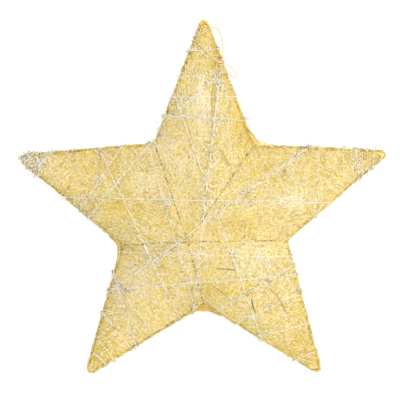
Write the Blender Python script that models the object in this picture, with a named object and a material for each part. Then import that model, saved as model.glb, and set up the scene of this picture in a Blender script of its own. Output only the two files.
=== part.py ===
"""Five-pointed star ornament: sisal fleece over bent wire, wound with tinsel, with a tied hanging thread.

Metres, +Z up. The star hangs upright in the XZ plane with its front toward -Y.
The origin is on the outline wire at the tip of the top arm, where the hanging thread holds the star.
"""
import math

import bmesh
import bpy
from mathutils import Vector
from mathutils.bvhtree import BVHTree

# Driving dimensions of the star
ARM_REACH = 0.2207
NOTCH_REACH = 0.0957
TIP_ROUND = 0.0050
NOTCH_ROUND = 0.0065
HUB_RISE = 0.0370
HUB_SHIFT_X = -0.0174
HUB_SHIFT_Z = -0.0292

# Bearings around the star's centre in degrees, counter-clockwise from +X, as the hand-bent wire has them,
# and how far each corner lies out of or short of its reach
ARM_BEARINGS = (89.9, 162.6, 233.7, 306.4, 378.9)
ARM_OFFSETS = (0.0020, -0.0009, 0.0024, -0.0003, -0.0023)
NOTCH_BEARINGS = (125.0, 200.0, 269.8, 342.9, 414.6)
NOTCH_OFFSETS = (0.0, 0.0008, 0.0031, 0.0001, -0.0013)

# Fleece
FLEECE_WALL = 0.0012
FLEECE_EDGE_WALL = 0.0008
RIM_LIP = 0.0008
RIB_FULLNESS = 1.7
ARM_HOLLOW = 1.25
RIDGE_SHARPNESS = 1.5
FLEECE_RINGS = (0.92, 0.80, 0.66, 0.50, 0.33, 0.16)
EDGE_STATIONS = (0.22, 0.45, 0.68)
ROUND_POINTS = 3

# Wire
WIRE_DIAMETER = 0.0020
WIRE_INSET = 0.0018
WIRE_TIP_BEND = 0.0038
WIRE_NOTCH_BEND = 0.0045
WIRE_BEND_POINTS = 5
WIRE_SIDES_STEP = 1

# Threads
TINSEL_DIAMETER = 0.0010
TINSEL_SIDES = 3
CORD_DIAMETER = 0.0012
CORD_POINT_STEP = 0.0034

# Clearances
TOUCH_GAP = 0.0003
WIRE_CLEARANCE = 0.0004
RIB_SADDLE = 0.0004
THREAD_SAG = 0.0004
THREAD_LEVELS = 3
PROBE_REACH = 0.2

# Where the tinsel thread turns round the rim, in winding order. The whole number is the edge, counted
# from the left edge of the top arm, and the rest is the way along it. The thread crosses the front from
# the first place of a pair to the second, and the back from there to the next pair.
TINSEL_TURNS = (
    (9.57, 0.88), (9.36, 0.65), (9.54, 0.50), (9.72, 0.30), (5.49, 0.61), (6.63, 5.26), (6.39, 5.43),
    (6.75, 3.33), (4.40, 3.50), (4.44, 3.20), (6.82, 5.09), (8.60, 3.36), (9.65, 4.91), (1.39, 4.81),
    (1.22, 2.62), (1.02, 2.70), (1.57, 2.35), (1.70, 2.18), (1.85, 2.14), (7.42, 2.47), (8.27, 7.68),
    (8.35, 7.51), (8.53, 7.26),
)

# Route of the hanging thread in metres from the origin: round the left rim of the top arm, over its front,
# out in the slack loop, through the knot, round the small bow, once round the knot and back over the front
CORD_ROUTE = (
    (-0.0070, 0.0046, -0.0173), (-0.0104, 0.0040, -0.0167), (-0.0123, 0.0004, -0.0161),
    (-0.0110, -0.0032, -0.0151), (-0.0074, -0.0044, -0.0137), (-0.0036, -0.0049, -0.0120),
    (0.0012, -0.0051, -0.0096), (0.0056, -0.0046, -0.0071), (0.0094, -0.0038, -0.0056),
    (0.0134, -0.0035, -0.0063), (0.0169, -0.0036, -0.0103), (0.0192, -0.0039, -0.0192),
    (0.0204, -0.0044, -0.0282), (0.0205, -0.0053, -0.0352), (0.0201, -0.0067, -0.0397),
    (0.0191, -0.0079, -0.0429), (0.0184, -0.0084, -0.0457), (0.0182, -0.0087, -0.0483),
    (0.0187, -0.0091, -0.0509), (0.0204, -0.0096, -0.0531), (0.0228, -0.0091, -0.0545),
    (0.0258, -0.0078, -0.0562), (0.0294, -0.0057, -0.0585), (0.0326, -0.0043, -0.0603),
    (0.0352, -0.0041, -0.0597), (0.0358, -0.0042, -0.0573), (0.0336, -0.0049, -0.0533),
    (0.0300, -0.0061, -0.0495), (0.0262, -0.0082, -0.0473), (0.0222, -0.0100, -0.0467),
    (0.0184, -0.0109, -0.0467), (0.0160, -0.0086, -0.0464), (0.0183, -0.0061, -0.0458),
    (0.0208, -0.0084, -0.0451), (0.0184, -0.0108, -0.0442), (0.0144, -0.0100, -0.0424),
    (0.0098, -0.0087, -0.0383), (0.0040, -0.0085, -0.0329), (-0.0018, -0.0084, -0.0275),
    (-0.0062, -0.0072, -0.0233), (-0.0097, -0.0050, -0.0209), (-0.0124, -0.0035, -0.0200),
    (-0.0138, 0.0000, -0.0199), (-0.0122, 0.0038, -0.0205), (-0.0085, 0.0047, -0.0211),
)


# Plane geometry of the outline


def polar(bearing, reach):
    """Point of the XZ plane at a bearing in degrees and a distance."""
    angle = math.radians(bearing)
    return Vector((math.cos(angle) * reach, math.sin(angle) * reach))


def star_corners():
    """The ten sharp corners around the star's centre, arm apexes and notches in turn."""
    corners = []
    for arm, arm_offset, notch, notch_offset in zip(ARM_BEARINGS, ARM_OFFSETS, NOTCH_BEARINGS, NOTCH_OFFSETS):
        corners.append(polar(arm, ARM_REACH + arm_offset))
        corners.append(polar(notch, NOTCH_REACH + notch_offset))
    return corners


def unit_edges(corners):
    """Unit vector along each edge, from its corner to the next."""
    count = len(corners)
    return [(corners[(i + 1) % count] - corners[i]).normalized() for i in range(count)]


def inset_corners(corners, inset):
    """Corners moved so that every edge lies inset further in."""
    edges = unit_edges(corners)
    moved = []
    for i, corner in enumerate(corners):
        before, after = edges[i - 1], edges[i]
        inward = Vector((-before.y - after.y, before.x + after.x)).normalized()
        moved.append(corner + inward * (inset / inward.dot(Vector((-after.y, after.x)))))
    return moved


def rounded_corner(before, corner, after, radius, count):
    """Points of the arc that rounds a corner, from the edge before it to the edge after it."""
    to_before = (before - corner).normalized()
    to_after = (after - corner).normalized()
    half_angle = math.acos(max(-1.0, min(1.0, to_before.dot(to_after)))) / 2.0
    middle = corner + (to_before + to_after).normalized() * (radius / math.sin(half_angle))
    start = corner + to_before * (radius / math.tan(half_angle)) - middle
    end = corner + to_after * (radius / math.tan(half_angle)) - middle
    sweep = start.angle_signed(end)
    points = []
    for k in range(count):
        turn = -sweep * k / (count - 1)
        cosine, sine = math.cos(turn), math.sin(turn)
        points.append(middle + Vector((start.x * cosine - start.y * sine, start.x * sine + start.y * cosine)))
    return points


def rounded_outline(corners, tip_radius, notch_radius, count):
    """The outline with its tips and notches rounded, as a list of arcs, one for each corner."""
    arcs = []
    for i, corner in enumerate(corners):
        radius = tip_radius if i % 2 == 0 else notch_radius
        arcs.append(rounded_corner(corners[i - 1], corner, corners[(i + 1) % len(corners)], radius, count))
    return arcs


STAR_CORNERS = star_corners()
WIRE_CORNERS = inset_corners(STAR_CORNERS, WIRE_INSET)
WIRE_ARCS = rounded_outline(WIRE_CORNERS, WIRE_TIP_BEND, WIRE_NOTCH_BEND, WIRE_BEND_POINTS)
HANGING_TIP = WIRE_ARCS[0][WIRE_BEND_POINTS // 2]
HUB = Vector((HUB_SHIFT_X, HUB_SHIFT_Z))
WIRE_RADIUS = WIRE_DIAMETER / 2.0
LIP_DEPTH = WIRE_RADIUS + WIRE_CLEARANCE + RIB_SADDLE / 2.0


def place(point, depth):
    """World position of a point of the star's plane, depth metres in front of the middle plane."""
    return Vector((point.x - HANGING_TIP.x, -depth, point.y - HANGING_TIP.y))


# Fleece skins


def outline_stations():
    """Points round the rim, each with its share of ridge: 1 at a notch, where a rib ends, and 0 at a tip."""
    arcs = rounded_outline(STAR_CORNERS, TIP_ROUND, NOTCH_ROUND, ROUND_POINTS)
    stations = []
    for i, arc in enumerate(arcs):
        at_notch = i % 2 == 1
        for point in arc:
            stations.append((point, 1.0 if at_notch else 0.0))
        following = arcs[(i + 1) % len(arcs)][0]
        for share in EDGE_STATIONS:
            toward_notch = 1.0 - share if at_notch else share
            stations.append((arc[-1].lerp(following, share), toward_notch ** RIDGE_SHARPNESS))
    return stations


def inward_normals(points):
    """Unit vectors into the star at each point of the rim."""
    count = len(points)
    normals = []
    for i in range(count):
        along = (points[(i + 1) % count] - points[i - 1]).normalized()
        normals.append(Vector((-along.y, along.x)))
    return normals


def skin_depth(share, ridge):
    """Depth of the skin's inner face, at a share of the way from hub to lip."""
    along_rib = 1.0 - share ** RIB_FULLNESS
    along_arm = (1.0 - share) ** ARM_HOLLOW
    return LIP_DEPTH + (HUB_RISE - LIP_DEPTH) * (ridge * along_rib + (1.0 - ridge) * along_arm)


def skin_rings(wall, edge_depth):
    """Rings of (point, depth) from the rim to the hub, for the inner face or, with a wall, the outer one."""
    stations = outline_stations()
    rim = [point for point, _ in stations]
    lip = [point + normal * RIM_LIP for point, normal in zip(rim, inward_normals(rim))]
    rings = [[(point, edge_depth) for point in rim]]
    rings.append([(point, LIP_DEPTH + wall) for point in lip])
    for share in FLEECE_RINGS:
        ring = []
        for point, (_, ridge) in zip(lip, stations):
            ring.append((HUB.lerp(point, share), skin_depth(share, ridge) + wall))
        rings.append(ring)
    return rings


def skin_face(mesh, rings, hub_depth, side, outward):
    """Quads between the rings and a fan at the hub; returns the rim's vertices."""
    rows = [[mesh.verts.new(place(point, depth * side)) for point, depth in ring] for ring in rings]
    count = len(rows[0])
    for outer, inner in zip(rows, rows[1:]):
        for i in range(count):
            j = (i + 1) % count
            corners = (outer[i], outer[j], inner[j], inner[i])
            mesh.faces.new(corners if outward else corners[::-1])
    hub = mesh.verts.new(place(HUB, hub_depth * side))
    for i in range(count):
        corners = (rows[-1][i], rows[-1][(i + 1) % count], hub)
        mesh.faces.new(corners if outward else corners[::-1])
    return rows[0]


def build_skin(name, side, material):
    """One fleece skin: a thin domed wall over the front (side 1) or the back (side -1)."""
    mesh = bmesh.new()
    half_gap = TOUCH_GAP / 2.0
    facing = side > 0
    outer_rings = skin_rings(FLEECE_WALL, half_gap + FLEECE_EDGE_WALL)
    outer = skin_face(mesh, outer_rings, HUB_RISE + FLEECE_WALL, side, facing)
    inner = skin_face(mesh, skin_rings(0.0, half_gap), HUB_RISE, side, not facing)
    count = len(outer)
    for i in range(count):
        j = (i + 1) % count
        corners = (outer[j], outer[i], inner[i], inner[j])
        mesh.faces.new(corners if facing else corners[::-1])
    return finished_object(name, mesh, material)


# Objects


def finished_object(name, mesh, material):
    """Object made of a bmesh, with smooth faces and its material."""
    bmesh.ops.triangulate(mesh, faces=mesh.faces[:])
    for face in mesh.faces:
        face.smooth = True
    data = bpy.data.meshes.new(name)
    mesh.to_mesh(data)
    mesh.free()
    data.materials.append(material)
    body = bpy.data.objects.new(name, data)
    bpy.context.collection.objects.link(body)
    return body


def tube(name, points, diameter, bevel_resolution, closed, material):
    """Round tube along the points, as a curve with filled caps."""
    curve = bpy.data.curves.new(name, "CURVE")
    curve.dimensions = "3D"
    curve.bevel_depth = diameter / 2.0
    curve.bevel_resolution = bevel_resolution
    curve.use_fill_caps = not closed
    spline = curve.splines.new("POLY")
    spline.points.add(len(points) - 1)
    for target, point in zip(spline.points, points):
        target.co = (point.x, point.y, point.z, 1.0)
    spline.use_cyclic_u = closed
    curve.materials.append(material)
    body = bpy.data.objects.new(name, curve)
    bpy.context.collection.objects.link(body)
    return body


def make_material(name, colour, roughness, metallic):
    """Principled material with plain values."""
    material = bpy.data.materials.new(name)
    material.use_nodes = True
    shader = material.node_tree.nodes["Principled BSDF"]
    shader.inputs["Base Color"].default_value = (*colour, 1.0)
    shader.inputs["Roughness"].default_value = roughness
    shader.inputs["Metallic"].default_value = metallic
    material.diffuse_color = (*colour, 1.0)
    return material


# Wires


def build_outline_wire(material):
    """The star's outline, one bent wire closed on itself."""
    points = [place(point, 0.0) for arc in WIRE_ARCS for point in arc]
    return tube("outline_wire", points, WIRE_DIAMETER, WIRE_SIDES_STEP, True, material)


def rib_side(notch, sink):
    """Points of one rib from near the hub to its notch, just under the skin's inner face."""
    corner = WIRE_CORNERS[notch]
    lip_share = 1.0 - RIM_LIP / (STAR_CORNERS[notch] - HUB).length
    target = HUB + (STAR_CORNERS[notch] - HUB) * lip_share
    reach = (target - HUB).length
    stop = 1.0 - (WIRE_DIAMETER + TOUCH_GAP + (target - corner).length) / reach
    points = []
    for share in reversed((stop,) + FLEECE_RINGS[1:]):
        step = 0.01
        fall = (skin_depth(share - step, 1.0) - skin_depth(share + step, 1.0)) / (2.0 * step * reach)
        drop = (WIRE_RADIUS + WIRE_CLEARANCE + RIB_SADDLE) * math.sqrt(1.0 + fall * fall) + sink
        depth = max(skin_depth(share, 1.0) - drop, WIRE_RADIUS + TOUCH_GAP)
        points.append((HUB.lerp(target, share), depth))
    return points


def build_rib(name, notches, level, side, material):
    """A rib wire that runs over the hub from notch to notch, or from the hub to one notch."""
    sink = level * (WIRE_DIAMETER + TOUCH_GAP)
    top = HUB_RISE - WIRE_RADIUS - WIRE_CLEARANCE - RIB_SADDLE - sink
    first = rib_side(notches[0], sink)
    points = [(HUB, top)] + first
    if len(notches) > 1:
        points = rib_side(notches[1], sink)[::-1] + points
    return tube(name, [place(point, depth * side) for point, depth in points], WIRE_DIAMETER,
                WIRE_SIDES_STEP, False, material)


# Tinsel thread


def rim_place(turn):
    """Point of the rim at a place given as edge number and the way along it, with the way out of the star."""
    edge = int(turn) % len(STAR_CORNERS)
    start, end = STAR_CORNERS[edge], STAR_CORNERS[(edge + 1) % len(STAR_CORNERS)]
    along = (end - start).normalized()
    return start.lerp(end, turn - int(turn)), Vector((along.y, -along.x))


def upper_hull(samples):
    """The samples that a taut thread touches, out of (distance, depth) pairs in order of distance."""
    hull = []
    for sample in samples:
        while len(hull) > 1:
            (x1, y1), (x2, y2) = hull[-2][:2], hull[-1][:2]
            if (x2 - x1) * (sample[1] - y1) < (sample[0] - x1) * (y2 - y1):
                break
            hull.pop()
        hull.append(sample)
    return hull


def taut_pass(start, end, side, level, surface):
    """Points of one taut pass over a skin, from one rim place round the edge to the other."""
    (begin, begin_out), (finish, finish_out) = rim_place(start), rim_place(end)
    lift = TINSEL_DIAMETER / 2.0 + TOUCH_GAP + level * (TINSEL_DIAMETER + TOUCH_GAP)
    edge_depth = LIP_DEPTH + FLEECE_WALL + lift
    begin = begin + begin_out * (TINSEL_DIAMETER / 2.0 + TOUCH_GAP)
    finish = finish + finish_out * (TINSEL_DIAMETER / 2.0 + TOUCH_GAP)
    length = (finish - begin).length
    steps = max(6, int(length / 0.006))
    samples = [(0.0, edge_depth, begin)]
    for k in range(1, steps):
        spot = begin.lerp(finish, k / steps)
        hit = surface.ray_cast(place(spot, PROBE_REACH * side), Vector((0.0, side, 0.0)))[0]
        if hit is not None:
            samples.append((length * k / steps, abs(hit.y) + lift + THREAD_SAG, spot))
    samples.append((length, edge_depth, finish))
    points = [place(spot, depth * side) for _, depth, spot in thinned(upper_hull(samples))]
    overlap = -TINSEL_DIAMETER * side
    slant = TINSEL_DIAMETER / 5.0 * side
    first = begin + Vector((-begin_out.y, begin_out.x)) * slant
    last = finish + Vector((-finish_out.y, finish_out.x)) * slant
    return [place(first, overlap)] + points + [place(last, overlap)]


def thinned(samples):
    """The hull without the points that stand less than the thread's sag above their neighbours' chord."""
    kept = [samples[0]]
    for i in range(1, len(samples) - 1):
        (x1, y1), (x2, y2), (x3, y3) = kept[-1][:2], samples[i][:2], samples[i + 1][:2]
        chord = y1 + (y3 - y1) * (x2 - x1) / (x3 - x1)
        if y2 - chord > THREAD_SAG:
            kept.append(samples[i])
    return kept + [samples[-1]]


def thread_mesh(points, diameter, sides):
    """Closed few-sided tube along the points, carried without twist."""
    mesh = bmesh.new()
    radius = diameter / 2.0
    count = len(points)
    across = None
    rows = []
    for i, point in enumerate(points):
        before = points[max(i - 1, 0)]
        after = points[min(i + 1, count - 1)]
        into = (point - before).normalized() if i else (after - point).normalized()
        out_of = (after - point).normalized() if i < count - 1 else into
        tangent = (into + out_of).normalized()
        if across is None:
            across = tangent.orthogonal().normalized()
        across = (across - tangent * across.dot(tangent)).normalized()
        other = tangent.cross(across)
        row = []
        for k in range(sides):
            angle = 2.0 * math.pi * k / sides
            row.append(mesh.verts.new(point + (across * math.cos(angle) + other * math.sin(angle)) * radius))
        rows.append(row)
    for first, second in zip(rows, rows[1:]):
        for k in range(sides):
            j = (k + 1) % sides
            mesh.faces.new((first[k], first[j], second[j], second[k]))
    mesh.faces.new(rows[0][::-1])
    mesh.faces.new(rows[-1])
    return mesh


def build_tinsel(front, back, material):
    """The tinsel thread wound round the star: every pass over the front and the back, fused into one body."""
    passes = []
    for i, (start, end) in enumerate(TINSEL_TURNS):
        level = i % THREAD_LEVELS
        passes.append(taut_pass(start, end, 1.0, level, front))
        if i + 1 < len(TINSEL_TURNS):
            passes.append(taut_pass(end, TINSEL_TURNS[i + 1][0], -1.0, level, back))
    others = bpy.data.collections.new("tinsel_passes")
    bpy.context.scene.collection.children.link(others)
    bodies = []
    for i, points in enumerate(passes):
        mesh = thread_mesh(points, TINSEL_DIAMETER, TINSEL_SIDES)
        body = finished_object("tinsel_thread" if i == 0 else f"tinsel_pass_{i:02d}", mesh, material)
        bodies.append(body)
    for body in bodies[1:]:
        bpy.context.collection.objects.unlink(body)
        others.objects.link(body)
        body.hide_render = True
        body.display_type = "WIRE"
    union = bodies[0].modifiers.new("fused_passes", "BOOLEAN")
    union.operation = "UNION"
    union.operand_type = "COLLECTION"
    union.collection = others
    union.solver = "MANIFOLD"
    return bodies[0]


def skin_surface(body):
    """Search tree of a skin's mesh, for laying threads on it."""
    mesh = bmesh.new()
    mesh.from_mesh(body.data)
    tree = BVHTree.FromBMesh(mesh)
    mesh.free()
    return tree


# Hanging thread


def smooth_route(route, step):
    """Points at even steps along a smooth curve through the route's own points."""
    controls = [Vector(point) for point in route]
    fine = []
    for i in range(len(controls) - 1):
        before = controls[max(i - 1, 0)]
        after = controls[min(i + 2, len(controls) - 1)]
        start, end = controls[i], controls[i + 1]
        for k in range(12):
            t = k / 12.0
            fine.append(0.5 * (2.0 * start + (end - before) * t
                               + (2.0 * before - 5.0 * start + 4.0 * end - after) * t * t
                               + (3.0 * start - before - 3.0 * end + after) * t * t * t))
    fine.append(controls[-1])
    total = sum((b - a).length for a, b in zip(fine, fine[1:]))
    count = max(2, round(total / step))
    spaced = [fine[0]]
    walked, wanted = 0.0, total / count
    for a, b in zip(fine, fine[1:]):
        length = (b - a).length
        while walked + length >= wanted and len(spaced) < count:
            spaced.append(a.lerp(b, (wanted - walked) / length))
            wanted += total / count
        walked += length
    return spaced + [fine[-1]]


def main():
    """Clears the scene and builds every piece of the star."""
    for body in list(bpy.data.objects):
        bpy.data.objects.remove(body, do_unlink=True)
    sisal = make_material("sisal_fleece", (0.80, 0.62, 0.25), 0.85, 0.0)
    iron = make_material("dark_wire", (0.11, 0.10, 0.07), 0.55, 0.7)
    tinsel = make_material("silver_tinsel", (0.86, 0.86, 0.82), 0.30, 0.6)
    thread = make_material("gold_thread", (0.90, 0.62, 0.35), 0.60, 0.0)
    build_outline_wire(iron)
    for name, side in (("front", 1.0), ("back", -1.0)):
        build_rib(f"{name}_cross_rib", (3, 7), 0, side, iron)
        build_rib(f"{name}_long_rib", (1, 5), 1, side, iron)
        build_rib(f"{name}_short_rib", (9,), 2, side, iron)
    front = build_skin("front_fleece", 1.0, sisal)
    back = build_skin("back_fleece", -1.0, sisal)
    build_tinsel(skin_surface(front), skin_surface(back), tinsel)
    tube("hanging_cord", smooth_route(CORD_ROUTE, CORD_POINT_STEP), CORD_DIAMETER, 2, False, thread)


main()
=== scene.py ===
"""Looks of the sisal star: fleece over dark wire, wound with eyelash tinsel, with a thin hanging thread."""
from __future__ import annotations

import logging
import math
from dataclasses import dataclass, field
from enum import Enum
from typing import Sequence

import bmesh
import bpy
import numpy as np
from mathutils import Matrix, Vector
from mathutils.bvhtree import BVHTree


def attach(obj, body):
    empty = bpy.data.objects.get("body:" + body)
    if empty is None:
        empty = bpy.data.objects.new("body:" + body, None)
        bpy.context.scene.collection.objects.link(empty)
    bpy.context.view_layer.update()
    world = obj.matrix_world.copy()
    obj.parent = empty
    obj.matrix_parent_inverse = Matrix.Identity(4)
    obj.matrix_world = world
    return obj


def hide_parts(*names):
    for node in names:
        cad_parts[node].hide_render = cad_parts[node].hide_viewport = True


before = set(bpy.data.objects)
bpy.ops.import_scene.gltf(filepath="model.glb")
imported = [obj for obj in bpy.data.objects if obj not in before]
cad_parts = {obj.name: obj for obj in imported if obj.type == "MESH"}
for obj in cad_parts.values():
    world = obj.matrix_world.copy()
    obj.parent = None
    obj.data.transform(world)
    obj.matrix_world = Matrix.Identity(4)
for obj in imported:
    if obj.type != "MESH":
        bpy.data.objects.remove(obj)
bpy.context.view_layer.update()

LOG = logging.getLogger("sisal_star")

# Size of one photo pixel on the star, and the pixel where the part's origin lies
PIXEL = 0.001096
ORIGIN_PIXEL = (203.704, 22.197)
PHOTO_MIDDLE = (199.5, 199.5)
PHOTO_WIDTH = 400.0

# The star's corners, as in the frame's solids: bearings in degrees and reaches in metres round its centre
CENTRE_PIXEL = (203.4, 214.4)
ARM_REACHES = (0.2227, 0.2198, 0.2231, 0.2204, 0.2184)
ARM_BEARINGS = (89.9, 162.6, 233.7, 306.4, 378.9)
NOTCH_REACHES = (0.0957, 0.0965, 0.0988, 0.0958, 0.0944)
NOTCH_BEARINGS = (125.0, 200.0, 269.8, 342.9, 414.6)
HUB_SHIFT = (-0.0174, -0.0292)
WIRE_INSET = 0.0018
TIP_ROUND = 0.0050
NOTCH_ROUND = 0.0065

STRAND_SIDES = 3
SMALLEST = 1e-12

Array = np.ndarray
Rng = np.random.Generator
Material = bpy.types.Material
Tree = bpy.types.NodeTree
Socket = bpy.types.NodeSocket
Inputs = dict[str | int, object]
Colour = tuple[float, float, float]
Pair = tuple[float, float]
Place = tuple[float, float, float]
Nest = tuple[float, float, float, float, int]


class Side(Enum):
    """A face of the star, with the sign that its depth has toward the front."""

    FRONT = 1.0
    BACK = -1.0

    @property
    def word(self) -> str:
        """The side's name in piece names."""
        return self.name.lower()

    @property
    def facing(self) -> Array:
        """Unit vector out of the star on this side."""
        return np.array([0.0, -self.value, 0.0])


class Tone(Enum):
    """Shades of sisal fibre, with white flecks that are painted highlights."""

    PALE = "pale"
    STRAW = "straw"
    GOLD = "gold"
    WHITE = "white"
    OLIVE = "olive"
    BROWN = "brown"
    RUST = "rust"


Finishes = dict[Tone, Material]


# Geometry shared by the pieces


def unit(vector: Array) -> Array:
    """The vector at a length of one."""
    return vector / np.linalg.norm(vector)


def from_photo(left: float, top: float) -> Array:
    """Place on the star's plane that a photo pixel shows.

    Args:
        left: Pixels from the photo's left edge.
        top: Pixels from its top edge.

    Returns:
        The place as (x, z) in metres.
    """
    return np.array([(left - ORIGIN_PIXEL[0]) * PIXEL, (ORIGIN_PIXEL[1] - top) * PIXEL])


@dataclass
class StarForm:
    """The star's outline, and the height of its fleece as read from the frame's own solids."""

    corners: Array = field(init=False)
    outline: Array = field(init=False)
    hub: Array = field(init=False)
    surfaces: dict[Side, BVHTree] = field(init=False)

    def __post_init__(self) -> None:
        """Works out the corners and builds a search tree over each fleece solid."""
        centre = from_photo(*CENTRE_PIXEL)
        corners = []
        arms, notches = zip(ARM_BEARINGS, ARM_REACHES), zip(NOTCH_BEARINGS, NOTCH_REACHES)
        for arm, notch in zip(arms, notches):
            corners += [centre + self.polar(*arm), centre + self.polar(*notch)]
        self.corners = np.array(corners)
        self.outline = np.concatenate([self.rounded(i) for i in range(len(corners))])
        self.hub = centre + np.array(HUB_SHIFT)
        self.surfaces = {side: self.surface_tree(side) for side in Side}

    @staticmethod
    def polar(bearing: float, reach: float) -> Array:
        """Offset at a bearing in degrees and a distance in metres."""
        angle = math.radians(bearing)
        return np.array([math.cos(angle) * reach, math.sin(angle) * reach])

    def rounded(self, number: int) -> Array:
        """The three points that round one corner, in order along the outline, (3, 2)."""
        corner = self.corners[number]
        before = unit(self.corners[number - 1] - corner)
        after = unit(self.corners[(number + 1) % len(self.corners)] - corner)
        radius = NOTCH_ROUND if number % 2 else TIP_ROUND
        half = math.acos(float(before @ after)) / 2.0
        middle = corner + unit(before + after) * radius / math.sin(half)
        run = radius / math.tan(half)
        top = middle + unit(corner - middle) * radius
        return np.array([corner + before * run, top, corner + after * run])

    @staticmethod
    def surface_tree(side: Side) -> BVHTree:
        """Search tree over the frame's fleece on one side."""
        node = bpy.data.objects[f"{side.word}_fleece"]
        mesh = bmesh.new()
        mesh.from_mesh(node.data)
        tree = BVHTree.FromBMesh(mesh)
        mesh.free()
        return tree

    def depths(self, places: Array, side: Side, outside: float = 0.0012) -> Array:
        """Depth of the fleece's outer face in front of the star's middle plane.

        Args:
            places: (n, 2) array of x and z.
            side: The face to read.
            outside: Depth to give places off the star, and the least depth on it.

        Returns:
            (n,) array of depths in metres.
        """
        tree = self.surfaces[side]
        sign = side.value
        found = np.full(len(places), outside)
        for i, (x, z) in enumerate(places):
            hit = tree.ray_cast(Vector((x, -0.3 * sign, z)), Vector((0.0, sign, 0.0)))[0]
            if hit is not None:
                found[i] = max(-hit.y * sign, outside)
        return found

    def lifted(self, flat: Array, side: Side, loft: Array | float) -> Array:
        """Brings places on the star's plane out onto the fleece.

        Args:
            flat: (..., 2) array of x and z.
            side: The face.
            loft: How far they stand off it.

        Returns:
            (..., 3) array of places.
        """
        depth = self.depths(flat.reshape(-1, 2), side).reshape(flat.shape[:-1]) + loft
        return np.stack([flat[..., 0], -side.value * depth, flat[..., 1]], axis=-1)

    def inside(self, places: Array) -> Array:
        """Which places lie within the outline."""
        x, z = places[:, 0], places[:, 1]
        result = np.zeros(len(places), dtype=bool)
        for (x1, z1), (x2, z2) in zip(self.outline, np.roll(self.outline, -1, axis=0)):
            crosses = (z1 > z) != (z2 > z)
            with np.errstate(divide="ignore", invalid="ignore"):
                at = (x2 - x1) * (z - z1) / (z2 - z1) + x1
            result ^= crosses & (x < at)
        return result

    def rim_gaps(self, places: Array) -> tuple[Array, Array, Array]:
        """How far places lie inside the rim.

        Args:
            places: (n, 2) array of x and z.

        Returns:
            Distances, negative outside; the nearest rim places; and the unit vectors into the star there.
        """
        starts = self.outline
        along = np.roll(starts, -1, axis=0) - starts
        lengths = np.linalg.norm(along, axis=1, keepdims=True)
        along = along / lengths
        inward = np.stack([-along[:, 1], along[:, 0]], axis=1)
        offset = places[:, None, :] - starts[None, :, :]
        walked = np.clip((offset * along).sum(axis=2), 0.0, lengths[:, 0])
        nearest = starts[None] + along[None] * walked[..., None]
        gaps = np.linalg.norm(places[:, None, :] - nearest, axis=2)
        edge = gaps.argmin(axis=1)
        gap = gaps[np.arange(len(places)), edge]
        return np.where(self.inside(places), gap, -gap), nearest[np.arange(len(places)), edge], inward[edge]

    def held_inside(self, places: Array, margin: Array | float) -> Array:
        """Moves places that are off the star, or nearer its rim than the margin, onto that line."""
        gap, nearest, inward = self.rim_gaps(places)
        margin = np.broadcast_to(margin, gap.shape)
        return np.where((gap < margin)[:, None], nearest + inward * margin[:, None], places)

    def wire_legs(self) -> list[tuple[Array, Array]]:
        """Straight legs of the wires as the star is seen from the front: outline first, then ribs."""
        moved = []
        for i, corner in enumerate(self.corners):
            before = unit(corner - self.corners[i - 1])
            after = unit(self.corners[(i + 1) % len(self.corners)] - corner)
            inward = unit(np.array([-before[1] - after[1], before[0] + after[0]]))
            moved.append(corner + inward * WIRE_INSET / inward.dot(np.array([-after[1], after[0]])))
        legs = list(zip(moved, moved[1:] + moved[:1]))
        return legs + [(moved[i], self.hub) for i in range(1, len(moved), 2)]

    def rim_place(self, turn: float) -> tuple[Array, Array]:
        """Place on the rim given as edge number plus the way along it.

        Args:
            turn: Edge number, counted from the top arm's left edge, plus a share from 0 to 1.

        Returns:
            The place and the unit vector out of the star there.
        """
        edge = int(turn) % len(self.corners)
        start, end = self.corners[edge], self.corners[(edge + 1) % len(self.corners)]
        along = unit(end - start)
        return start + (end - start) * (turn - int(turn)), np.array([along[1], -along[0]])


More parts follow.
